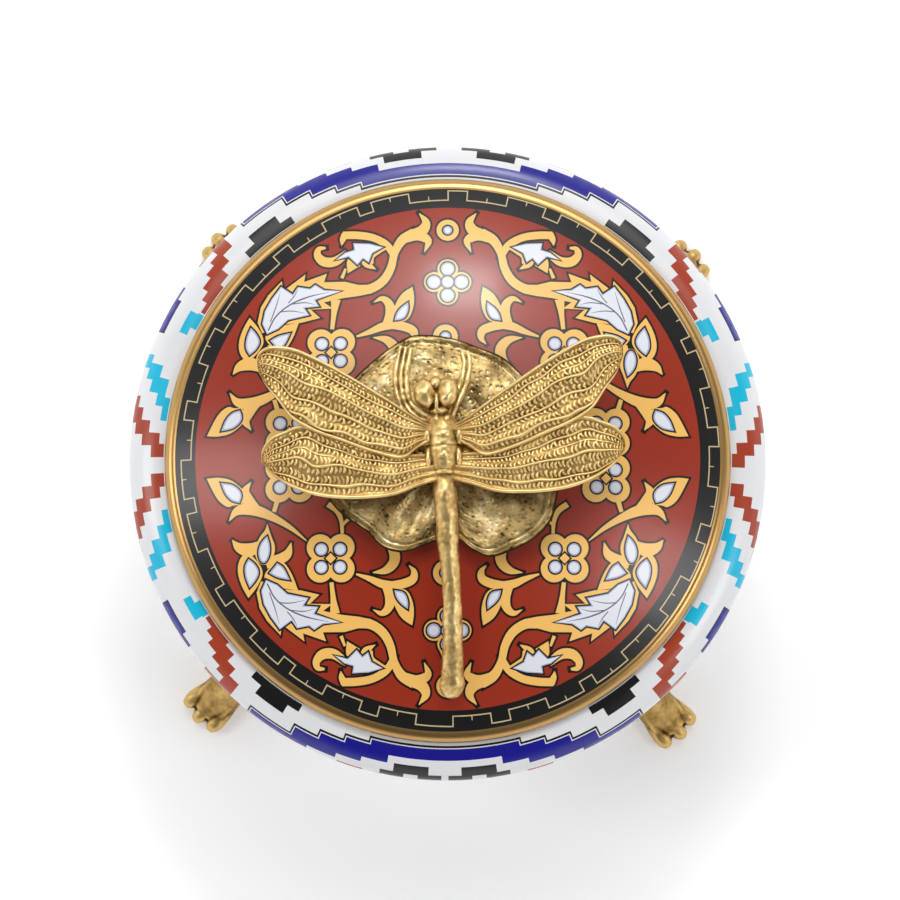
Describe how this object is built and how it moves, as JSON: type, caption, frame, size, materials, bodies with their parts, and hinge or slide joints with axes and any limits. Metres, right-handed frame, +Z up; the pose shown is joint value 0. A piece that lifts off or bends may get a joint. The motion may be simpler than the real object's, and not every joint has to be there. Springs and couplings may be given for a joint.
{
  "type": "porcelain casket",
  "caption": "Round hollow porcelain casket on bronze paw feet, with a lift-off domed painted lid that carries a bronze dragonfly on a lily leaf.",
  "frame": {"origin": "middle of the casket, on the plane of the four soles", "axes": "+Z up; the dragonfly's tail points to -Y, which is the front, and its wings run along X"},
  "size_m": [0.14, 0.14, 0.0925],
  "materials": {
    "body": "glossy white glaze with a painted stepped band",
    "lid": "glossy glaze, painted red, black and white with gold",
    "leaf": "cast bronze with dark patina",
    "dragonfly": "cast bronze, rubbed bright on the ridges",
    "feet": "cast bronze"
  },
  "bodies": {
    "root": {"body": "body", "lid": "lid", "lily_leaf": "leaf", "dragonfly": "dragonfly", "foot_front_left": "feet", "foot_front_right": "feet", "foot_back_left": "feet", "foot_back_right": "feet"}
  },
  "joints": []
}
